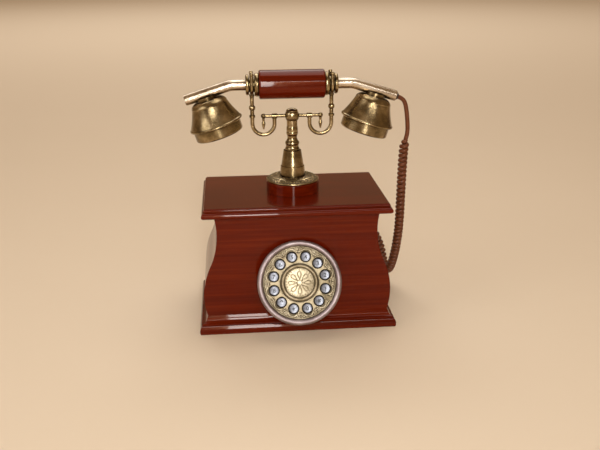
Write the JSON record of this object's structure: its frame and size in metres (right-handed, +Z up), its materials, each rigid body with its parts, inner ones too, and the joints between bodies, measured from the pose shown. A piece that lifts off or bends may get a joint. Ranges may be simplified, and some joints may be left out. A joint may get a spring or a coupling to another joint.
{
  "type": "push-button telephone in rotary style",
  "caption": "Wooden desk telephone with a tilted ring of push buttons, and a brass column whose sprung cradle carries a lift-off handset on a curly cord.",
  "frame": {"origin": "centre of the underside, on the surface that the telephone stands on", "axes": "+X to the right of someone facing the dial, +Y to the back, +Z up along the column"},
  "size_m": [0.2549, 0.1948, 0.283],
  "materials": {
    "wood": "gloss lacquer",
    "raw_wood": "bare",
    "brass": "aged satin",
    "dial_brass": "pale embossed",
    "pewter": "polished",
    "steel": "satin",
    "button_face": "gloss",
    "black_plastic": "gloss",
    "red_plastic": "gloss",
    "circuit": "matte",
    "rubber": "matte",
    "cord": "satin"
  },
  "bodies": {
    "housing": {"plinth": "wood", "front_panel": "wood", "back_panel": "wood", "left_side": "wood", "right_side": "wood", "lid": "wood", "pedestal_disc": "wood", "glue_blocks": "raw_wood", "base_panel": "raw_wood", "column_flange": "brass", "column_sleeve": "brass", "column_collar": "brass", "column_nut": "brass", "dial_plate": "dial_brass", "dial_medallion": "dial_brass", "finger_stop": "dial_brass", "dial_bezel": "pewter", "dial_cup": "pewter", "case_screws": "steel", "plunger_spring": "steel", "spring_bracket": "steel", "button_rims": "black_plastic", "hook_switch": "black_plastic", "ringer": "black_plastic", "line_jack": "black_plastic", "keypad_board": "circuit", "main_board": "circuit", "keypad_mat": "rubber", "case_grommet": "rubber", "curly_cord": "cord"},
    "cradle": {"plunger_rod": "steel", "cradle_neck": "brass", "cradle_ball": "brass", "cradle_cap": "brass", "cross_bar": "brass", "right_fork": "brass", "left_fork": "brass"},
    "handset": {"grip": "wood", "grip_collars": "brass", "handset_tubes": "brass", "tie_rod": "steel", "handset_cups": "brass", "handset_caps": "brass", "microphone": "black_plastic", "receiver_capsule": "black_plastic", "tube_plug": "brass", "handset_grommet": "rubber"},
    "hook_plunger": {"switch_plunger": "red_plastic"},
    "key_1": {"button_1": "button_face"},
    "key_2": {"button_2": "button_face"},
    "key_3": {"button_3": "button_face"},
    "key_4": {"button_4": "button_face"},
    "key_5": {"button_5": "button_face"},
    "key_6": {"button_6": "button_face"},
    "key_7": {"button_7": "button_face"},
    "key_8": {"button_8": "button_face"},
    "key_9": {"button_9": "button_face"},
    "key_star": {"button_star": "button_face"},
    "key_0": {"button_0": "button_face"},
    "key_hash": {"button_hash": "button_face"}
  },
  "joints": [
    {"name": "handset_lift", "type": "slide", "parent": "housing", "child": "handset", "axis": [0, 0, 1], "range_m": [0, 0.08], "deforming": ["curly_cord"]},
    {"name": "cradle_rise", "type": "slide", "parent": "housing", "child": "cradle", "axis": [0, 0, 1], "range_m": [0, 0.005], "deforming": ["plunger_spring"]},
    {"name": "hook_switch_rise", "type": "slide", "parent": "housing", "child": "hook_plunger", "axis": [0, 0, 1], "range_m": [0, 0.003]},
    {"name": "press_1", "type": "slide", "parent": "housing", "child": "key_1", "axis": [0, 0.9397, -0.342], "range_m": [0, 0.0015], "stiffness_N_per_m": 300, "springref_m": -0.001},
    {"name": "press_2", "type": "slide", "parent": "housing", "child": "key_2", "axis": [0, 0.9397, -0.342], "range_m": [0, 0.0015], "stiffness_N_per_m": 300, "springref_m": -0.001},
    {"name": "press_3", "type": "slide", "parent": "housing", "child": "key_3", "axis": [0, 0.9397, -0.342], "range_m": [0, 0.0015], "stiffness_N_per_m": 300, "springref_m": -0.001},
    {"name": "press_4", "type": "slide", "parent": "housing", "child": "key_4", "axis": [0, 0.9397, -0.342], "range_m": [0, 0.0015], "stiffness_N_per_m": 300, "springref_m": -0.001},
    {"name": "press_5", "type": "slide", "parent": "housing", "child": "key_5", "axis": [0, 0.9397, -0.342], "range_m": [0, 0.0015], "stiffness_N_per_m": 300, "springref_m": -0.001},
    {"name": "press_6", "type": "slide", "parent": "housing", "child": "key_6", "axis": [0, 0.9397, -0.342], "range_m": [0, 0.0015], "stiffness_N_per_m": 300, "springref_m": -0.001},
    {"name": "press_7", "type": "slide", "parent": "housing", "child": "key_7", "axis": [0, 0.9397, -0.342], "range_m": [0, 0.0015], "stiffness_N_per_m": 300, "springref_m": -0.001},
    {"name": "press_8", "type": "slide", "parent": "housing", "child": "key_8", "axis": [0, 0.9397, -0.342], "range_m": [0, 0.0015], "stiffness_N_per_m": 300, "springref_m": -0.001},
    {"name": "press_9", "type": "slide", "parent": "housing", "child": "key_9", "axis": [0, 0.9397, -0.342], "range_m": [0, 0.0015], "stiffness_N_per_m": 300, "springref_m": -0.001},
    {"name": "press_star", "type": "slide", "parent": "housing", "child": "key_star", "axis": [0, 0.9397, -0.342], "range_m": [0, 0.0015], "stiffness_N_per_m": 300, "springref_m": -0.001},
    {"name": "press_0", "type": "slide", "parent": "housing", "child": "key_0", "axis": [0, 0.9397, -0.342], "range_m": [0, 0.0015], "stiffness_N_per_m": 300, "springref_m": -0.001},
    {"name": "press_hash", "type": "slide", "parent": "housing", "child": "key_hash", "axis": [0, 0.9397, -0.342], "range_m": [0, 0.0015], "stiffness_N_per_m": 300, "springref_m": -0.001}
  ],
  "couplings": [
    {"joint": "cradle_rise", "follows": "handset_lift", "ratio": 0.0625},
    {"joint": "hook_switch_rise", "follows": "handset_lift", "ratio": 0.0375}
  ]
}
